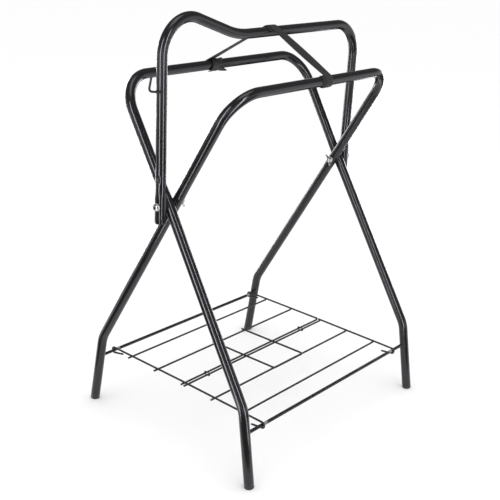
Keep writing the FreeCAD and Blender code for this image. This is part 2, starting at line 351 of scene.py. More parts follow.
def weld_bead(bar_point, bar_way, bar_radius, tube_point, tube_way, tube_radius, bead, steps=72):
    """A rippled bead where a bar meets the side of a round tube."""
    bar_way, tube_way = bar_way.normalized(), tube_way.normalized()
    first = bar_way.orthogonal().normalized()
    second = bar_way.cross(first)
    route = []
    for k in range(steps):
        angle = math.tau * k / steps
        start = bar_point + spoke(first, second, angle) * bar_radius
        gap = start - tube_point
        flat_gap = gap - tube_way * gap.dot(tube_way)
        flat_way = bar_way - tube_way * bar_way.dot(tube_way)
        a, b, c = flat_way.dot(flat_way), flat_way.dot(flat_gap), flat_gap.dot(flat_gap) - tube_radius**2
        root = math.sqrt(max(b * b - a * c, 0))
        reach = min((-b + root) / a, (-b - root) / a, key=abs)
        route.append(start + bar_way * reach)
    sides = 10
    points = []
    for k, place in enumerate(route):
        way = (route[(k + 1) % steps] - route[k - 1]).normalized()
        out = (place - bar_point - bar_way * (place - bar_point).dot(bar_way)).normalized()
        up = way.cross(out)
        turn = math.tau * k / steps
        size = bead * (1 + 0.10 * math.sin(turn * 11) + 0.06 * math.sin(turn * 3))
        for j in range(sides):
            points.append(place + spoke(out, up, math.tau * j / sides) * size)
    return points, ring_faces(steps, sides, looped=True)


# ---------------------------------------------------------------- materials


def node_material(name):
    material = bpy.data.materials.new(name)
    material.use_nodes = True
    tree = material.node_tree
    return material, tree, tree.nodes["Principled BSDF"]


def noise_of(tree, coordinates, scale, detail=2.0, roughness=0.5):
    noise = tree.nodes.new("ShaderNodeTexNoise")
    noise.inputs["Scale"].default_value = scale
    noise.inputs["Detail"].default_value = detail
    noise.inputs["Roughness"].default_value = roughness
    tree.links.new(coordinates, noise.inputs["Vector"])
    return noise.outputs["Fac"]


def ranged(tree, value, low, high, to_low, to_high):
    node = tree.nodes.new("ShaderNodeMapRange")
    node.interpolation_type = "SMOOTHSTEP"
    node.inputs["From Min"].default_value = low
    node.inputs["From Max"].default_value = high
    node.inputs["To Min"].default_value = to_low
    node.inputs["To Max"].default_value = to_high
    tree.links.new(value, node.inputs["Value"])
    return node.outputs["Result"]


def math_node(tree, operation, *values):
    node = tree.nodes.new("ShaderNodeMath")
    node.operation = operation
    for socket, value in zip(node.inputs, values):
        if isinstance(value, (int, float)):
            socket.default_value = value
        else:
            tree.links.new(value, socket)
    return node.outputs["Value"]


def mixed(tree, share, first, second):
    node = tree.nodes.new("ShaderNodeMix")
    node.data_type = "RGBA"
    for socket, value in ((node.inputs[0], share), (node.inputs[6], first), (node.inputs[7], second)):
        if isinstance(value, tuple):
            socket.default_value = (*value, 1)
        else:
            tree.links.new(value, socket)
    return node.outputs[2]


def bumped(tree, height, strength, distance, under=None):
    node = tree.nodes.new("ShaderNodeBump")
    node.inputs["Strength"].default_value = strength
    node.inputs["Distance"].default_value = distance
    tree.links.new(height, node.inputs["Height"])
    if under:
        tree.links.new(under, node.inputs["Normal"])
    return node.outputs["Normal"]


def distance_to(tree, place, spot):
    gap = tree.nodes.new("ShaderNodeVectorMath")
    gap.operation = "DISTANCE"
    tree.links.new(place, gap.inputs[0])
    gap.inputs[1].default_value = spot
    return gap.outputs["Value"]


def powder_coat(name, dark, light, gloss, peel, wear_places=()):
    """Black powder coat: orange peel, soft tone changes, fine dust and rubbed patches near the hooks."""
    material, tree, shader = node_material(name)
    place = tree.nodes.new("ShaderNodeTexCoord").outputs["Object"]
    tone = noise_of(tree, place, 22, 3)
    colour = mixed(tree, tone, dark, light)
    dust = ranged(tree, noise_of(tree, place, 1900, 1), 0.70, 0.82, 0, 0.22)
    colour = mixed(tree, dust, colour, (0.16, 0.16, 0.165))
    rough = ranged(tree, noise_of(tree, place, 55, 4, 0.6), 0.3, 0.7, gloss[0], gloss[1])
    for spot in wear_places:
        near = ranged(tree, distance_to(tree, place, spot), 0.0045, 0.0095, 1, 0)
        broken = ranged(tree, noise_of(tree, place, 500, 3), 0.38, 0.6, 0.45, 1)
        worn = math_node(tree, "MULTIPLY", near, broken)
        colour = mixed(tree, worn, colour, (0.36, 0.36, 0.35))
    tree.links.new(colour, shader.inputs["Base Color"])
    tree.links.new(rough, shader.inputs["Roughness"])
    shader.inputs["IOR"].default_value = 1.52
    shader.inputs["Specular Tint"].default_value = (0.95, 0.92, 1.0, 1)
    fine = bumped(tree, noise_of(tree, place, 620, 2), peel, 0.0004)
    coarse = bumped(tree, noise_of(tree, place, 90, 2), peel * 0.5, 0.001, fine)
    tree.links.new(coarse, shader.inputs["Normal"])
    return material


def zinc_plate(name, rust_places=()):
    """Bright zinc with faint yellow and blue passivation, fine turning marks and small rusted spots."""
    material, tree, shader = node_material(name)
    place = tree.nodes.new("ShaderNodeTexCoord").outputs["Object"]
    tone = ranged(tree, noise_of(tree, place, 160, 3), 0.35, 0.65, 0, 1)
    colour = mixed(tree, tone, (0.66, 0.66, 0.60), (0.60, 0.63, 0.67))
    stain = ranged(tree, noise_of(tree, place, 420, 4), 0.58, 0.72, 0, 0.6)
    colour = mixed(tree, stain, colour, (0.40, 0.37, 0.30))
    for spot in rust_places:
        rusted = ranged(tree, distance_to(tree, place, spot), 0.0032, 0.0048, 0.9, 0)
        colour = mixed(tree, rusted, colour, (0.10, 0.06, 0.04))
    tree.links.new(colour, shader.inputs["Base Color"])
    shader.inputs["Metallic"].default_value = 1.0
    rough = ranged(tree, noise_of(tree, place, 300, 4, 0.6), 0.3, 0.7, 0.2, 0.42)
    tree.links.new(rough, shader.inputs["Roughness"])
    marks = bumped(tree, noise_of(tree, place, 1500, 2), 0.35, 0.00015)
    tree.links.new(marks, shader.inputs["Normal"])
    return material


def moulded_plastic(name):
    """Black polyethylene with a fine spark-eroded grain."""
    material, tree, shader = node_material(name)
    place = tree.nodes.new("ShaderNodeTexCoord").outputs["Object"]
    scuff = ranged(tree, noise_of(tree, place, 240, 4, 0.65), 0.5, 0.75, 0, 0.5)
    colour = mixed(tree, scuff, (0.017, 0.017, 0.018), (0.055, 0.055, 0.056))
    tree.links.new(colour, shader.inputs["Base Color"])
    rough = ranged(tree, noise_of(tree, place, 80, 3), 0.3, 0.7, 0.42, 0.6)
    tree.links.new(rough, shader.inputs["Roughness"])
    grain = bumped(tree, noise_of(tree, place, 2600, 1), 0.25, 0.0002)
    tree.links.new(grain, shader.inputs["Normal"])
    return material


def woven_webbing(name):
    """Black polypropylene webbing. Its UVs are metres across and along the strap."""
    material, tree, shader = node_material(name)
    uv = tree.nodes.new("ShaderNodeTexCoord").outputs["UV"]
    split = tree.nodes.new("ShaderNodeSeparateXYZ")
    tree.links.new(uv, split.inputs[0])
    across, along = split.outputs["X"], split.outputs["Y"]
    yarn, pick = 0.00125, 0.0021
    column = math_node(tree, "FLOOR", math_node(tree, "DIVIDE", across, yarn))
    half_step = math_node(tree, "MULTIPLY", math_node(tree, "MODULO", column, 2.0), math.pi)
    phase = math_node(tree, "ADD", math_node(tree, "MULTIPLY", along, math.tau / pick), half_step)
    lift = math_node(tree, "MULTIPLY_ADD", math_node(tree, "SINE", phase), 0.5, 0.5)
    rib = math_node(tree, "SINE", math_node(tree, "MULTIPLY", across, math.pi / yarn))
    ridge = math_node(tree, "ABSOLUTE", rib)
    weave_relief_and_shade = math_node(tree, "MULTIPLY", math_node(tree, "MULTIPLY_ADD", lift, 0.7, 0.3), ridge)
    fuzz = noise_of(tree, uv, 2600, 3, 0.7)
    # The weave height also sets the colour: the gaps between yarns are painted darker as painted shade and
    # the yarn crowns painted lighter as painted highlight, mixed with random fuzz tone
    tone = math_node(tree, "MULTIPLY_ADD", fuzz, 0.35, math_node(tree, "MULTIPLY", weave_relief_and_shade, 0.65))
    colour = mixed(tree, tone, (0.004, 0.004, 0.004), (0.019, 0.019, 0.018))
    lint = ranged(tree, noise_of(tree, uv, 900, 2), 0.68, 0.8, 0, 0.2)
    tree.links.new(mixed(tree, lint, colour, (0.07, 0.07, 0.067)), shader.inputs["Base Color"])
    tree.links.new(ranged(tree, fuzz, 0.3, 0.7, 0.62, 0.82), shader.inputs["Roughness"])
    shader.inputs["Sheen Weight"].default_value = 0.05
    shader.inputs["Sheen Roughness"].default_value = 0.45
    relief = bumped(tree, weave_relief_and_shade, 0.8, 0.0004, bumped(tree, fuzz, 0.3, 0.0001))
    tree.links.new(relief, shader.inputs["Normal"])
    return material


def rod_wear():
    """Where each hook rubs the top of its rod."""
    spots = []
    for half in ("a", "b"):
        for side in SIDE.values():
            y = side * SHELF_HALF_Y + side_shift(SIGN[half] * ROD["a"].x) - side * RUB_INSET
            spots.append((ROD[half].x, y, ROD[half].z + ROD_R))
    return spots


def bolt_faces():
    """The middle of each bolt head's outer face, where the plating has rusted."""
    return [(0.0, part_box("pivot_bolt_near")[0].y, PIVOT.z), (0.0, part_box("pivot_bolt_far")[1].y, PIVOT.z)]


# ---------------------------------------------------------------- tubes


def side_shift(x):
    """How far the shelf sits towards +Y, at a place across the rack."""
    frame_name = "a" if x > 0 else "b"
    share = abs(x) / ROD["a"].x
    return SHELF_SHIFT["middle"] + (SHELF_SHIFT[frame_name] - SHELF_SHIFT["middle"]) * share


def leg_point(name, end, z):
    knee_x = LEAN * (PIVOT.z - KNEE_Z)
    if z >= KNEE_Z:
        x = SIGN[name] * LEAN * (PIVOT.z - z)
    else:
        x = SIGN[name] * (FOOT_X + (knee_x - FOOT_X) * z / KNEE_Z)
    splay = SPLAY_ABOVE[name] * (z - PIVOT.z) if z > PIVOT.z else SPLAY_BELOW[name] * (PIVOT.z - z)
    return Vector((x, SIDE[end] * (LEG_Y[name] + splay), z))


def pinch(place, out, half_length):
    """A tube squeezed by its pivot bolt: flatter towards the bolt's ends and fuller at the corners."""
    squeeze = math.exp(-(((place.z - PIVOT.z) / half_length) ** 4))
    if squeeze < 0.01:
        return 0.0
    power = 2 + 0.9 * squeeze
    flat = abs(out.y)
    fat = math.sqrt(max(0.0, 1 - flat * flat))
    return TUBE_R * ((flat**power + fat**power) ** (-1 / power) - 1)


def creases(place, out, knee, inner):
    """Shallow wrinkles across the inside of a knee."""
    gone = (place - knee).dot(inner.cross(Y).normalized())
    if abs(gone) > 0.03:
        return 0.0
    faces_in = max(0.0, out.dot(inner) * 0.75 + 0.25)
    waves = math.cos(gone / CREASE_GAP * math.tau) - 0.35
    return CREASE_DEPTH * faces_in**1.3 * waves * math.exp(-((gone / CREASE_FADE) ** 2))


def make_ridge_tube():
    points = [
        Vector((0, -RIDGE_Y, RIDGE_END_Z + 0.0004)),
        Vector((0, -RIDGE_Y, HUMP_Z)),
        Vector((0, VALLEY_Y, RIDGE_Z)),
        Vector((0, RIDGE_FAR_Y, RIDGE_Z)),
        Vector((0, RIDGE_Y, RIDGE_SET_Z)),
        Vector((0, RIDGE_Y, RIDGE_END_Z + 0.0004)),
    ]
    dimple = Vector((0.0, -RIDGE_Y, 0.629))
    dimple_out = Vector((math.sin(math.radians(20)), -math.cos(math.radians(20)), 0))
    fine = [Vector((0, side * RIDGE_Y, PIVOT.z)) for side in SIDE.values()] + [dimple]

    def shape(place, out):
        extra = 0.0
        if place.z < 0.62:
            extra = pinch(place, out, 0.026 if place.z > PIVOT.z else 0.06)
        up = (place.z - dimple.z) / 0.0085
        if place.y < 0 and abs(up) < 2:
            sideways = out.angle(dimple_out) / math.radians(15)
            extra -= 0.0009 * math.exp(-(up**4) - sideways**4)
        return extra

    samples = rounded(points, [BEND_R, VALLEY_R, BEND_R, SET_R], fine)
    body = swept(samples, TUBE_R, 48, shape, hollow=(TUBE_WALL, 0.016))
    crease(new_piece("ridge_tube_bent", *body, "arch", "tube_paint", ["ridge_tube"]), 50)
    for end, side in SIDE.items():
        low = Vector((0, side * RIDGE_Y, RIDGE_END_Z - PLUG_LIP))
        turns = [math.radians(18 * k) for k in range(6)]
        rim = [(PLUG_ROUND * (1 - math.cos(t)), TUBE_R - PLUG_ROUND * (1 - math.sin(t))) for t in turns]
        profile = [(0.0, 0.0005), *rim, (PLUG_LIP, TUBE_R)]
        profile += [(PLUG_LIP + 0.0003, PLUG_STEM_R), (0.014, PLUG_STEM_R)]
        plug = lathed(low, Z, profile, closed=False)
        new_piece(f"ridge_plug_moulded_{end}", *plug, "arch", "cap_plastic", [f"ridge_plug_{end}"])


def make_frame_tube(name):
    heights = {"a": [KNEE_Z, PIVOT.z, RAIL_Z], "b": [KNEE_Z, RAIL_Z]}[name]
    radii = {"a": [BEND_R, SET_R, BEND_R], "b": [BEND_R, BEND_R]}[name]
    sides, fine, knees = [], [], []
    for end in SIDE:
        foot = leg_point(name, end, 0)
        knee = leg_point(name, end, KNEE_Z)
        up = (knee - foot).normalized()
        sides.append([foot + up * (CAP_LIP + 0.0002)] + [leg_point(name, end, z) for z in heights])
        fine += [knee, leg_point(name, end, PIVOT.z)]
        knees.append(knee)
    near, far = sides
    inner = Vector((-SIGN[name], 0, -0.22)).normalized()

    def shape(place, out):
        if place.z < KNEE_Z + 0.05:
            knee = knees[0] if place.y < 0 else knees[1]
            return creases(place, out, knee + inner * 0.004, inner)
        if abs(place.z - PIVOT.z) < 0.05:
            return pinch(place, out, 0.022) * 0.6
        return 0.0

    samples = rounded(near + far[::-1], radii + radii[::-1], fine)
    steps = [(0.004, 0.004), (0.012, 0.02), (0.012, 0.1)]
    body = swept(samples, TUBE_R, 44, shape, ends=(steps, steps))
    new_piece(f"frame_{name}_tube_bent", *body, f"frame_{name}", "tube_paint", [f"frame_{name}_tube"])


def make_foot_cap(name, end):
    foot = leg_point(name, end, 0)
    up = (leg_point(name, end, KNEE_Z) - foot).normalized()
    lip, below, edge = TUBE_R - 0.0001, -0.0015, 0.004
    profile = [(below, 0.0003), (below, lip - 0.0042)]
    for step in range(9):
        angle = math.radians(90 * step / 8)
        profile.append((below + edge * (1 - math.cos(angle)), lip - edge + edge * math.sin(angle)))
    profile += [(CAP_LIP - 0.0006, lip), (CAP_LIP - 0.0003, lip - 0.0001), (CAP_LIP, lip - 0.0005)]
    profile += [(CAP_LIP + 0.0002, lip - 0.0012), (CAP_LIP + 0.012, lip - 0.0013)]
    points, faces = lathed(foot, up, profile, closed=False)
    points = [Vector((p.x, p.y, max(p.z, 0.0))) for p in points]
    node = f"foot_cap_{name}_{end}"
    new_piece(f"foot_cap_moulded_{name}_{end}", points, faces, f"frame_{name}", "cap_plastic", [node])


def make_crossbar(name):
    low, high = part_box(f"crossbar_{name}")
    start, end = [Vector((ROD[name].x, y, ROD[name].z)) for y in (low.y, high.y)]
    samples = rounded([start, end], [], coarse_step=0.03)
    rod = swept(samples, ROD_R, 28, ends=(CUT_END, CUT_END))
    node = f"crossbar_{name}"
    crease(new_piece(f"{node}_rod", *rod, f"frame_{name}", "wire_paint", [node], "rubbed_rod"), 40)
    beads = []
    for leg_end, side in SIDE.items():
        foot, knee = leg_point(name, leg_end, 0), leg_point(name, leg_end, KNEE_Z)
        mouth = start if side < 0 else end
        beads.append(weld_bead(mouth, Y, ROD_R, foot, knee - foot, TUBE_R, 0.0017))
    joined(f"crossbar_{name}_welds", beads, f"frame_{name}", "tube_paint")


# ---------------------------------------------------------------- pivots


def hex_radius(angle):
    """A hexagon's radius at an angle, for one unit across the flats."""
    turned = (angle - HEAD_TURN) % (math.pi / 3) - math.pi / 6
    return 0.5 / math.cos(turned)


def make_bolt(end):
    side = SIDE[end]
    node = f"pivot_bolt_{end}"
    low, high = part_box(node)
    out = Y * side
    outer, inner = (high.y, low.y) if side > 0 else (low.y, high.y)
    head_h, shank_r = 0.0053, 0.004
    face = Vector((0, outer - side * head_h, PIVOT.z))
    corner = HEAD_FLATS / math.sqrt(3)

    def head_shape(angle, along, radius):
        cone = corner - max(0.0, along - head_h * 0.62) * 1.35
        return min(radius, HEAD_FLATS * hex_radius(angle), cone)

    heights = [0, 0.0003, 0.0015, 0.0028, 0.0034, 0.004, 0.0046, 0.0050, 0.0052, 0.0053]
    profile = [(h, corner) for h in heights]
    profile += [(0.0053, 0.0048), (0.0051, 0.0043), (0.0050, 0.0036), (0.0050, 0.0004)]
    head = lathed(face, out, profile, sides=72, closed=False, radius_at=head_shape)
    length = abs(outer - inner) - head_h
    pitch, thread_length = 0.00125, 0.026
    tip = face - out * length
    rows = [(0.0, shank_r - 0.0009), (0.0005, shank_r - 0.0004)]
    steps = int(thread_length / pitch * 7)
    rows += [(0.0008 + thread_length * k / steps, shank_r) for k in range(steps)]
    rows += [(thread_length + 0.0012, shank_r), (length + 0.0005, shank_r)]

    def thread(angle, along, radius):
        if not 0.0007 < along < thread_length:
            return radius
        wave = (along / pitch - angle / math.tau) % 1.0
        return radius - 0.00062 * abs(2 * wave - 1)

    shank = lathed(tip, out, rows, sides=28, closed=False, radius_at=thread)
    crease(joined(f"pivot_bolt_threaded_{end}", [head, shank], "arch", "zinc", [node]), 24)


def make_washers(end):
    out = Y * SIDE[end]
    for kind, edge in (("head_washer", 0.0003), ("nut_washer", 0.00025)):
        node = f"{kind}_{end}"
        low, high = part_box(node)
        start = Vector((0, low.y if SIDE[end] > 0 else high.y, PIVOT.z))
        section = ring_profile(high.y - low.y, (high.x - low.x) / 2, BOLT_HOLE_R, edge)
        crease(new_piece(f"{node}_stamped", *lathed(start, out, section), "arch", "zinc", [node]), 60)
    node = f"spacer_washers_{end}"
    low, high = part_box(node)
    thick, radius = 0.0012, (high.x - low.x) / 2
    parts = []
    for y in (low.y, high.y - thick):
        parts.append(lathed(Vector((0, y, PIVOT.z)), Y, ring_profile(thick, radius, BOLT_HOLE_R, 0.0003)))
    joined(f"spacer_washers_moulded_{end}", parts, "arch", "cap_plastic", [node])


def make_wing_nut(end):
    """A cast wing nut: hub and wings melted into each other."""
    side = SIDE[end]
    node = f"wing_nut_{end}"
    low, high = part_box(node)
    seat = Vector((0, high.y if side > 0 else low.y, PIVOT.z))
    axis = Y * -side
    hub_profile = [(0.0003, 0.0042), (0.0003, 0.0058), (0.0008, 0.0063), (0.0022, 0.0062), (0.006, 0.0054)]
    hub_profile += [(0.0073, 0.0051), (0.0078, 0.0046), (0.0078, 0.0042)]
    parts = [lathed(seat, axis, hub_profile, sides=64)]
    across = Vector((math.cos(WING_TURN[end]), 0, math.sin(WING_TURN[end])))
    thick_way = axis.cross(across).normalized()
    outline = [(0.0044, 0.0012), (0.0075, 0.0018), (0.0110, 0.0032), (0.0140, 0.0052), (0.0151, 0.0072)]
    outline += [(0.0148, 0.0088), (0.0136, 0.0097), (0.0120, 0.0096), (0.0103, 0.0086), (0.0080, 0.0074)]
    outline += [(0.0046, 0.0068)]
    for wing in (-1, 1):
        halves = [0.0013, 0.0012, 0.0011, 0.0011, 0.001, 0.001, 0.001, 0.001, 0.0011, 0.0012, 0.0013]
        points = []
        for face_side in (-1, 1):
            for (reach, height), half in zip(outline, halves):
                points.append(seat + across * (wing * reach) + axis * height + thick_way * (half * face_side))
        count = len(outline)
        faces = [tuple(range(count)), tuple(range(2 * count - 1, count - 1, -1))]
        faces += [(k, (k + 1) % count, (k + 1) % count + count, k + count) for k in range(count)]
        parts.append((points, faces))
    rough = joined(f"wing_nut_rough_{end}", parts, None, None)
    remesh = rough.modifiers.new("melt", "REMESH")
    remesh.mode = "VOXEL"
    remesh.voxel_size = 0.00034
    smooth = rough.modifiers.new("soften", "SMOOTH")
    smooth.iterations = 4
    smooth.factor = 0.6
    bpy.context.view_layer.update()
    melted = bpy.data.meshes.new_from_object(rough.evaluated_get(bpy.context.evaluated_depsgraph_get()))
    bpy.data.objects.remove(rough)
    points = [v.co.copy() for v in melted.vertices]
    faces = [tuple(f.vertices) for f in melted.polygons]
    new_piece(f"wing_nut_cast_{end}", points, faces, node, "zinc", [node])


# ---------------------------------------------------------------- wirework


def make_bridle_hook():
    y = middle("bridle_hook").y
    points = [Vector((x, y, z)) for x, z in BRIDLE_HOOK]
    samples = rounded(points, [BRIDLE_BEND_R], coarse_step=0.004, turn=9)
    hook = swept(samples, HOOK_WIRE_R, 22, ends=(CUT_END, ROUND_END))
    crease(new_piece("bridle_hook_wire", *hook, "arch", "wire_paint", ["bridle_hook"]), 40)
    seat = Vector((0.0, y + HOOK_WIRE_R * 0.75, points[0].z - 0.0006))
    blobs = [nugget(seat + X * dx, (0.0032, 0.0016, 0.0031), 18, 10) for dx in (-0.0024, 0.0012, 0.0042)]
    joined("bridle_hook_weld", blobs, "arch", "tube_paint")


def side_wire_samples(half, end):
    """A wire across the shelf, hooked round its rod, with a tail that returns underneath."""
    radius, spread = HOOK_R[half], TAIL_SPREAD[half]
    middle_x, rod_x = SIDE_END_X[half], ROD[half].x
    start = Vector((middle_x, SIDE[end] * SHELF_HALF_Y + side_shift(middle_x), ROD["a"].z + radius))
    rod = Vector((rod_x, SIDE[end] * SHELF_HALF_Y + side_shift(rod_x), ROD["a"].z))
    top = rod + Z * radius
    outward = (top - start).normalized()
    samples = [(place, outward) for place in run_places(start, top, (), 0.012, 0.012, 0)[0]]
    if (samples[-1][0] - top).length < 0.001:
        samples.pop()
    steps = 22
    for step in range(steps + 1):
        angle = (math.pi - spread) * step / steps
        place = rod + outward * (radius * math.sin(angle)) + Z * (radius * math.cos(angle))
        samples.append((place, outward * math.cos(angle) - Z * math.sin(angle)))
    last, way = samples[-1]
    samples += [(last + way * (TAIL_LENGTH * k / 4), way) for k in range(1, 5)]
    return samples


def make_shelf_half(half):
    body = f"shelf_{half}"
    welds = []
    for end in SIDE:
        wire = swept(side_wire_samples(half, end), WIRE_R, 20, ends=(CUT_END, CUT_END))
        node = f"shelf_{half}_side_{end}"
        crease(new_piece(f"shelf_{half}_side_wire_{end}", *wire, body, "wire_paint", [node]), 40)
    for name in ("outer", "middle", "inner"):
        node = f"shelf_{half}_{name}_wire"
        low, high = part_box(node)
        centre = (low + high) / 2
        ends = [Vector((centre.x, y, centre.z)) for y in (low.y, high.y)]
        samples = rounded(ends, [], coarse_step=0.02)
        wire = swept(samples, WIRE_R, 20, ends=(CUT_END, CUT_END))
        crease(new_piece(f"{node}_drawn", *wire, body, "wire_paint", [node]), 40)
        for side in SIDE.values():
            y = side * SHELF_HALF_Y + side_shift(centre.x)
            welds.append(nugget(Vector((centre.x, y, centre.z + WIRE_R)), SPOT_WELD))
    if half == "b":
        low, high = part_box("shelf_stop_loop")
        for y in (low.y + WIRE_R, high.y - WIRE_R):
            for name in ("middle", "inner"):
                crossing = middle(f"shelf_b_{name}_wire")
                welds.append(nugget(Vector((crossing.x, y, crossing.z + WIRE_R)), SPOT_WELD))
    joined(f"shelf_{half}_welds", welds, body, "wire_paint")


def make_stop_loop():
    low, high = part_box("shelf_stop_loop")
    z = (low.z + high.z) / 2
    base_x, low_y, high_y = high.x - WIRE_R, low.y + WIRE_R, high.y - WIRE_R
    corners = [(low.x, high_y), (base_x, high_y), (base_x, low_y), (low.x, low_y)]
    points = [Vector((x, y, z)) for x, y in corners]
    samples = rounded(points, [STOP_BEND_R, STOP_BEND_R], coarse_step=0.015, turn=8)
    wire = swept(samples, WIRE_R, 20, ends=(CUT_END, CUT_END))
    crease(new_piece("shelf_stop_loop_wire", *wire, "shelf_b", "wire_paint", ["shelf_stop_loop"]), 40)


def make_clip(end):
    """A closed wire link round the two inner wires."""
    node = f"shelf_clip_{end}"
    low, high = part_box(node)
    ring_r = CLIP_INNER_R + CLIP_R
    y = (low.y + high.y) / 2
    centre_b = Vector((low.x + ring_r + CLIP_R, y, middle("shelf_b_inner_wire").z))
    centre_a = Vector((middle("shelf_a_inner_wire").x, y, middle("shelf_a_inner_wire").z))
    along = (centre_a - centre_b).normalized()
    up = Vector((-along.z, 0, along.x))
    route = []
    for centre, start in ((centre_a, 90), (centre_b, 270)):
        for step in range(19):
            angle = math.radians(start - 10 * step)
            route.append(centre + spoke(along, up, angle) * ring_r)
    sides, count = 14, len(route)
    points = []
    for k, place in enumerate(route):
        way = (route[(k + 1) % count] - route[k - 1]).normalized()
        out = way.cross(Y)
        for j in range(sides):
            points.append(place + spoke(out, Y, math.tau * j / sides) * CLIP_R)
    faces = ring_faces(count, sides, looped=True)
    new_piece(f"{node}_link", points, faces, "shelf_b", "wire_paint", [node])


# ---------------------------------------------------------------- strap


def smooth_step(value):
    value = min(1.0, max(0.0, value))
    return value * value * (3 - 2 * value)


def eased(stops, value):
    """Reads a smooth value between (place, value) stops."""
    for (low, first), (high, second) in zip(stops, stops[1:]):
        if value <= high:
            return first + (second - first) * smooth_step((value - low) / (high - low))
    return stops[-1][1]


def web_section():
    """The webbing's closed section as (across, through) shares, with thin rolled edges."""
    top = []
    for k in range(15):
        u = math.sin(math.radians(-90 + 180 * k / 14))
        edge = max(0.0, (abs(u) - 0.9) / 0.1)
        top.append((u, math.sqrt(max(0.0, 1 - edge * edge))))
    return top + [(u, -t) for u, t in reversed(top[1:-1])]


def web_parts(place, rows):
    """Points, faces, UVs and length of a strip. place(share along, share across, height) gives a point."""
    section = web_section()
    lines = [[place(row / rows, across, 0.0) for row in range(rows + 1)] for across in (0, -1, 1)]
    length = max(sum((b - a).length for a, b in zip(line, line[1:])) for line in lines)
    points, uvs, gone = [], [], 0.0
    for row, centre in enumerate(lines[0]):
        gone += (centre - lines[0][max(0, row - 1)]).length
        for across, through in section:
            points.append(place(row / rows, across, through * WEB_T / 2))
            uvs.append((across * WEB_WIDTH / 2, gone))
    return points, ring_faces(rows + 1, len(section)), uvs, length


def web_piece(name, strips, body, nodes):
    """One piece of webbing made of one or more strips, returned with its flat length."""
    points, faces, uvs, length = [], [], [], 0.0
    for place, rows in strips:
        strip_points, strip_faces, strip_uvs, strip_length = web_parts(place, rows)
        faces += [tuple(i + len(points) for i in face) for face in strip_faces]
        points += strip_points
        uvs += strip_uvs
        length += strip_length
    piece = new_piece(name, points, faces, body, "webbing", nodes)
    layer = piece.data.uv_layers.new(name="webbing")
    for loop in piece.data.loops:
        layer.data[loop.index].uv = uvs[loop.vertex_index]
    return piece, length


def wound(centre, angles, y_stops, radius_stops, cut=None, lift=None):
    """A strip that follows a tube. Stops are (degrees, millimetres).

    cut(u) lengthens the strip's end at a share u across it, and lift(degrees, u) raises it, in metres.
    """
    first, last = angles

    def at_angle(stops, degrees):
        ordered = stops if stops[0][0] < stops[-1][0] else stops[::-1]
        return eased(ordered, degrees) / 1000

    radius = at_angle(radius_stops, (first + last) / 2)
    arc = math.radians(abs(last - first)) * radius
    gone = at_angle(y_stops, last) - at_angle(y_stops, first)
    length = math.hypot(arc, gone)

    def place(along, across, height):
        share = along * (1 + (cut(across) / length if cut else 0.0))
        degrees = first + (last - first) * share
        slope = (at_angle(y_stops, degrees + 2) - at_angle(y_stops, degrees - 2)) / math.radians(4)
        size = at_angle(radius_stops, degrees) + height
        if lift:
            size += lift(degrees, across)
        diagonal = math.hypot(size, slope)
        offset = across * WEB_WIDTH / 2
        angle = math.radians(degrees) - offset * slope / diagonal / size
        y = at_angle(y_stops, degrees) + offset * size / diagonal
        return Vector((centre.x + math.cos(angle) * size, centre.y + y, centre.z + math.sin(angle) * size))

    return place, int(abs(last - first) / 5)


def span_strip(start, end, normal, twist):
    """A free strip pulled straight between two tubes, which twists and cups a little on its way."""
    along_way = (end - start).normalized()

    def place(along, across, height):
        turn = Matrix.Rotation(twist * math.sin(math.pi * along) ** 1.2, 3, along_way)
        cup = SPAN_CUP * math.sin(math.pi * along) * (1 - across * across)
        sideways = (turn @ Y) * (across * WEB_WIDTH / 2)
        return start.lerp(end, along) + sideways + (turn @ normal) * (height + cup)

    return place, SPAN_ROWS


def span_normal(half):
    """The upward normal of a span, and its angle round the tubes in degrees."""
    normal = Vector((RAIL_Z - RIDGE_Z, 0, -RAIL[half].x)).normalized()
    if normal.z < 0:
        normal = -normal
    return normal, math.degrees(math.atan2(normal.z, normal.x))


def rail_centre(half):
    return Vector((RAIL[half].x, 0, RAIL_Z))


def make_ridge_wrap():
    """The band over the ridge, and an edge that is folded under it."""
    top_a, top_b = span_normal("a")[1], span_normal("b")[1]
    over_y = [(top_b, RIDGE_LEAVES["b"]), (top_a, RIDGE_LEAVES["a"])]
    over = wound(RIDGE_CENTRE, (top_a, top_b), over_y, [(top_b, OUTER), (top_a, OUTER)])
    under_y = [(2, -1.0), (60, 2.5), (118, 5.0)]
    under = wound(RIDGE_CENTRE, (118, 2), under_y, [(2, INNER), (118, INNER)], cut=lambda u: 0.003 * u)
    wrap, length = web_piece("strap_ridge_band", [over, under], "arch", ["strap_ridge_wrap"])


def make_span(half):
    normal = span_normal(half)[0]
    start = RIDGE_CENTRE + normal * (OUTER / 1000) + Y * (RIDGE_LEAVES[half] / 1000)
    layer = {"a": INNER, "b": OUTER}[half]
    end = rail_centre(half) + normal * (layer / 1000) + Y * (RAIL_ARRIVES[half] / 1000)
    strip = span_strip(start, end, normal, SPAN_TWIST[half])
    span, length = web_piece(f"strap_span_band_{half}", [strip], None, [f"strap_span_{half}"])
    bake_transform(span)


def make_loop_a():
    """One turn tucked under a second, whose end is cut to a fishtail. One corner stands up."""
    top = span_normal("a")[1]
    tucked_y = [(top, RAIL_ARRIVES["a"]), (270, -20), (375, -19)]
    tucked = wound(rail_centre("a"), (top, 375), tucked_y, [(top, INNER), (375, INNER)])
    front_y = [(-68, -25), (30, -19), (118, -2), (180, 3), (235, 0), (300, -14)]
    front_r = [(-68, OUTER + 0.9), (-40, OUTER + 0.9), (25, OUTER), (100, INNER + 0.3)]
    front_r += [(190, INNER + 0.4), (240, OUTER), (300, OUTER)]
    front = wound(
        rail_centre("a"), (300, -68), front_y, front_r,
        cut=lambda u: 0.0055 * abs(u) - 0.002,
        lift=lambda degrees, u: 0.0013 * smooth_step(u) * math.exp(-(((degrees - 104) / 16) ** 2)))
    loop, length = web_piece("strap_loop_band_a", [tucked, front], "frame_a", ["strap_loop_a"])


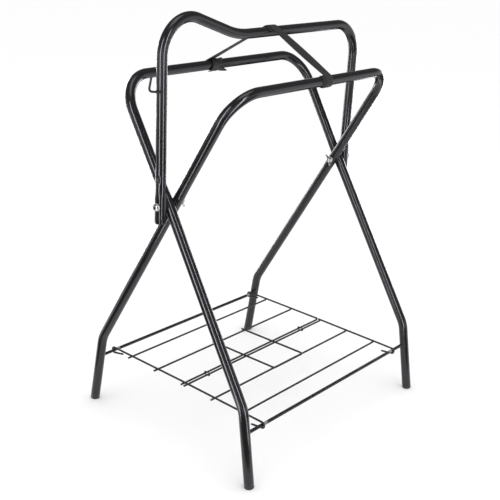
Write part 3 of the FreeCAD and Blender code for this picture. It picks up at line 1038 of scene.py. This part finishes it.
def make_loose_end():
    """The other cut end, which lies along rail A's underside and curls away from it."""
    centre = rail_centre("a")

    def tail(along, across, height):
        reach = 0.023 + 0.012 * abs(across) ** 1.3
        y = -0.020 + reach * along
        free = smooth_step((y + 0.004) / 0.02)
        size = (OUTER + 0.1 + 6.0 * free) / 1000 + height
        angle = math.radians(-62 - 20 * along) + across * WEB_WIDTH / 2 / size
        return Vector((centre.x + math.cos(angle) * size, y, centre.z + math.sin(angle) * size))

    loose, length = web_piece("strap_loose_end", [(tail, 18)], "frame_a", ["strap_tails"])


def make_loop_b():
    """A turn and a third round rail B, with the span's layer outermost."""
    top = span_normal("b")[1]
    route_y = [(-418, 11), (-330, 11.5), (-240, 20), (-150, 22), (-60, 20), (10, 17.5)]
    route_y.append((top, RAIL_ARRIVES["b"]))
    route_r = [(-418, INNER), (-215, INNER), (-150, INNER + 0.5), (-100, OUTER), (top, OUTER)]
    strip = wound(rail_centre("b"), (top, -418), route_y, route_r)
    loop, length = web_piece("strap_loop_band_b", [strip], "frame_b", ["strap_loop_b"])


TUBE_TONES = (0.0095, 0.0095, 0.0105), (0.015, 0.015, 0.016)
WIRE_TONES = (0.012, 0.012, 0.013), (0.022, 0.022, 0.023)
MATERIALS = {
    "tube_paint": powder_coat("gloss_black_powder_coat", *TUBE_TONES, (0.14, 0.21), 0.05),
    "wire_paint": powder_coat("satin_black_powder_coat", *WIRE_TONES, (0.26, 0.38), 0.14),
    "rubbed_rod": powder_coat("rubbed_black_powder_coat", *WIRE_TONES, (0.2, 0.32), 0.12, rod_wear()),
    "cap_plastic": moulded_plastic("moulded_black_plastic"),
    "webbing": woven_webbing("woven_black_webbing"),
    "zinc": zinc_plate("bright_zinc_plate", bolt_faces()),
}

make_ridge_tube()
for frame_name in ("a", "b"):
    make_frame_tube(frame_name)
    make_crossbar(frame_name)
    make_shelf_half(frame_name)
    for end_name in SIDE:
        make_foot_cap(frame_name, end_name)
for end_name in SIDE:
    make_bolt(end_name)
    make_washers(end_name)
    make_wing_nut(end_name)
    make_clip(end_name)
make_bridle_hook()
make_stop_loop()
make_ridge_wrap()
for frame_name in ("a", "b"):
    make_span(frame_name)
make_loop_a()
make_loose_end()
make_loop_b()


# ---------------------------------------------------------------- studio

CAMERA_PLACE = Vector((1.3399, -1.6349, 1.1607))
CAMERA_YAW, CAMERA_PITCH, CAMERA_ROLL = math.radians(39.885), math.radians(20.033), math.radians(2.572)
CAMERA_LENS = 67.18
STRIP_DISTANCE = 1.45
FLOOR_REACH = 40.0


def make_camera():
    yaw, pitch, roll = CAMERA_YAW, CAMERA_PITCH, CAMERA_ROLL
    back = Vector((math.sin(yaw) * math.cos(pitch), -math.cos(yaw) * math.cos(pitch), math.sin(pitch)))
    right = Vector((math.cos(yaw), math.sin(yaw), 0))
    up = back.cross(right)
    side = right * math.cos(roll) + up * math.sin(roll)
    head = up * math.cos(roll) - right * math.sin(roll)
    data = bpy.data.cameras.new("camera")
    data.lens = CAMERA_LENS
    camera = linked("camera", data)
    turn = Matrix((side, head, back)).transposed().to_4x4()
    camera.matrix_world = Matrix.Translation(CAMERA_PLACE) @ turn
    bpy.context.scene.camera = camera


def around(azimuth, distance, height):
    a = math.radians(azimuth)
    return Vector((math.sin(a) * distance, -math.cos(a) * distance, height))


def area_light(name, place, target, size, radiance, gloss_only=False):
    data = bpy.data.lights.new(name, "AREA")
    data.shape = "RECTANGLE"
    data.size, data.size_y = size
    data.energy = radiance * math.pi * size[0] * size[1]
    light = linked(name, data)
    light.location = place
    light.rotation_mode = "QUATERNION"
    light.rotation_quaternion = (place - target).to_track_quat("Z", "Y")
    light.visible_camera = False
    light.visible_diffuse = not gloss_only
    return light


def flat_material(name, colour, glow=0.0):
    """A matt surface for the floor and the flags, or a plain glow for a streak of light."""
    material, tree = node_material(name)[:2]
    tree.nodes.clear()
    matt = tree.nodes.new("ShaderNodeEmission" if glow else "ShaderNodeBsdfDiffuse")
    matt.inputs["Color"].default_value = (*colour, 1)
    if glow:
        matt.inputs["Strength"].default_value = glow
    tree.links.new(matt.outputs[0], tree.nodes.new("ShaderNodeOutputMaterial").inputs["Surface"])
    return material


def staged(name, points, faces, material):
    mesh = bpy.data.meshes.new(name)
    mesh.from_pydata(points, [], faces)
    mesh.materials.append(material)
    piece = linked(name, mesh)
    return piece


def gloss_card(name, azimuth, half_angle, rows, height, material):
    """A fan-shaped card on the floor that only the gloss sees."""
    steps = 24
    points = []
    for distance in rows:
        for step in range(steps + 1):
            points.append(around(azimuth + half_angle * (2 * step / steps - 1), distance, height))
    count = steps + 1
    faces = [(k, k + 1, k + 1 + count, k + count) for k in range(steps)]
    card = staged(f"{name}_{azimuth}", points, faces, material)
    card.visible_camera = False
    card.visible_diffuse = False
    card.visible_shadow = False


def make_world():
    """Even white for the floor and the view, and for the gloss a pale horizon under a dark ceiling."""
    world = bpy.data.worlds.new("studio")
    world.use_nodes = True
    tree = world.node_tree
    height = tree.nodes.new("ShaderNodeSeparateXYZ")
    tree.links.new(tree.nodes.new("ShaderNodeTexCoord").outputs["Generated"], height.inputs[0])
    gloss = ranged(tree, height.outputs["Z"], 0.05, 0.36, 0.85, 0.12)
    path = tree.nodes.new("ShaderNodeLightPath")
    share = path.outputs["Is Glossy Ray"]
    plain = math_node(tree, "MULTIPLY", math_node(tree, "SUBTRACT", 1.0, share), 1.03)
    strength = math_node(tree, "ADD", plain, math_node(tree, "MULTIPLY", gloss, share))
    tree.links.new(strength, tree.nodes["Background"].inputs["Strength"])
    tree.nodes["Background"].inputs["Color"].default_value = (1.0, 1.0, 1.0, 1)
    bpy.context.scene.world = world


def make_studio():
    corners = [(x * FLOOR_REACH, y * FLOOR_REACH, 0) for x, y in ((-1, -1), (1, -1), (1, 1), (-1, 1))]
    staged("floor", corners, [(0, 1, 2, 3)], flat_material("pale_floor", (0.955, 0.955, 0.955)))
    make_world()
    bpy.context.scene.view_settings.view_transform = "Standard"
    area_light("overhead", Vector((0.3, -0.3, 3.4)), Vector((0, 0, 0)), (1.8, 1.8), 1.9)
    for azimuth, tall in ((6, 1.8), (73, 1.8), (186, 0.85), (253, 0.85)):
        place = around(azimuth, STRIP_DISTANCE, tall / 2)
        middle_line = Vector((0, 0, tall / 2))
        area_light(f"strip_{azimuth}", place, middle_line, (0.25, tall), 12, gloss_only=True)
    dark = flat_material("flag", (0.02, 0.02, 0.022))
    gloss_card("near_flag", 40, 85, (0.55, 4.5), 0.003, dark)
    gloss_card("far_flag", 220, 58, (0.9, 4.5), 0.003, dark)
    streak = flat_material("streak", (1.0, 1.0, 1.0), glow=8.0)
    for azimuth in (6, 73):
        gloss_card("streak", azimuth, 4, (0.6, STRIP_DISTANCE), 0.006, streak)


make_camera()
make_studio()
